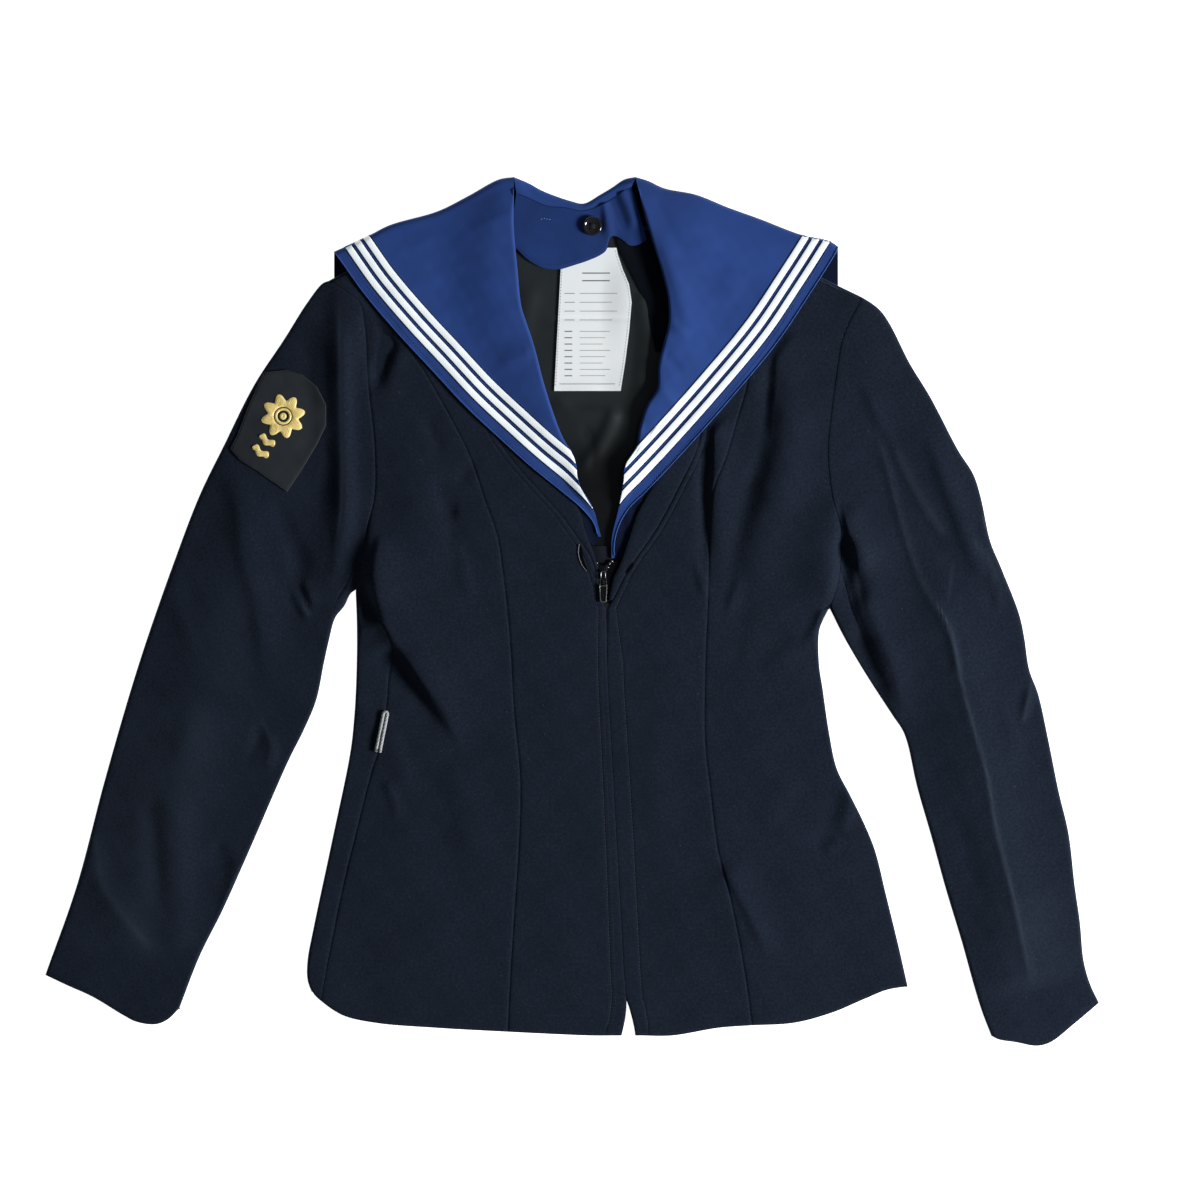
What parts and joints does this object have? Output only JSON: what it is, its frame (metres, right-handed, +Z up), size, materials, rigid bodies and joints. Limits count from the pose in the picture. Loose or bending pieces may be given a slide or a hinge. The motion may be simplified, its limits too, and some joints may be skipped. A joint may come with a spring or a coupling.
{
  "type": "sailor top",
  "caption": "Women's navy wool sailor top laid flat: long sleeves, blue sailor collar with white tapes, concealed front zip and a sleeve badge.",
  "frame": {"origin": "on the floor under the middle of the garment's bounding box", "axes": "+X to the wearer's left across the sleeves, +Y towards the neck, +Z up from the floor; the garment lies on its back"},
  "size_m": [0.8318, 0.6857, 0.0147],
  "materials": {
    "navy_wool": "matt brushed wool",
    "collar_blue": "smooth wool",
    "white_tape": "ribbed tape",
    "dark_lining": "satin lining",
    "label_cloth": "woven label cloth, blank",
    "badge_felt": "felt",
    "gold_thread": "gold embroidery",
    "pale_cord": "cotton cord",
    "zip_tape": "woven zip tape with black plastic teeth",
    "dark_metal": "dark bronzed metal",
    "black_button": "gloss"
  },
  "bodies": {
    "garment": {"back": "navy_wool", "front_centre_right": "navy_wool", "front_centre_left": "navy_wool", "front_side_right": "navy_wool", "front_side_left": "navy_wool", "sleeve_top_right": "navy_wool", "sleeve_top_left": "navy_wool", "sleeve_under_right": "navy_wool", "sleeve_under_left": "navy_wool", "neck_band_right": "navy_wool", "neck_band_left": "navy_wool", "collar": "collar_blue", "collar_yoke": "collar_blue", "button": "black_button", "tape_right_1": "white_tape", "tape_right_2": "white_tape", "tape_right_3": "white_tape", "tape_left_1": "white_tape", "tape_left_2": "white_tape", "tape_left_3": "white_tape", "lining_back": "dark_lining", "neck_facing": "navy_wool", "label": "label_cloth", "zip_tape_right": "zip_tape", "zip_tape_left": "zip_tape", "zip_slider": "dark_metal", "zip_guard": "navy_wool", "badge_patch": "badge_felt", "badge_rosette": "gold_thread", "badge_bar_1": "gold_thread", "badge_bar_2": "gold_thread", "side_loop": "pale_cord"},
    "zip_pull": {"zip_pull": "dark_metal"}
  },
  "joints": [
    {"name": "zip_pull_hinge", "type": "hinge", "parent": "garment", "child": "zip_pull", "pos_m": [0.0245, 0.0284, 0.009], "axis": [-1, 0, 0], "range_deg": [0, 150]}
  ]
}
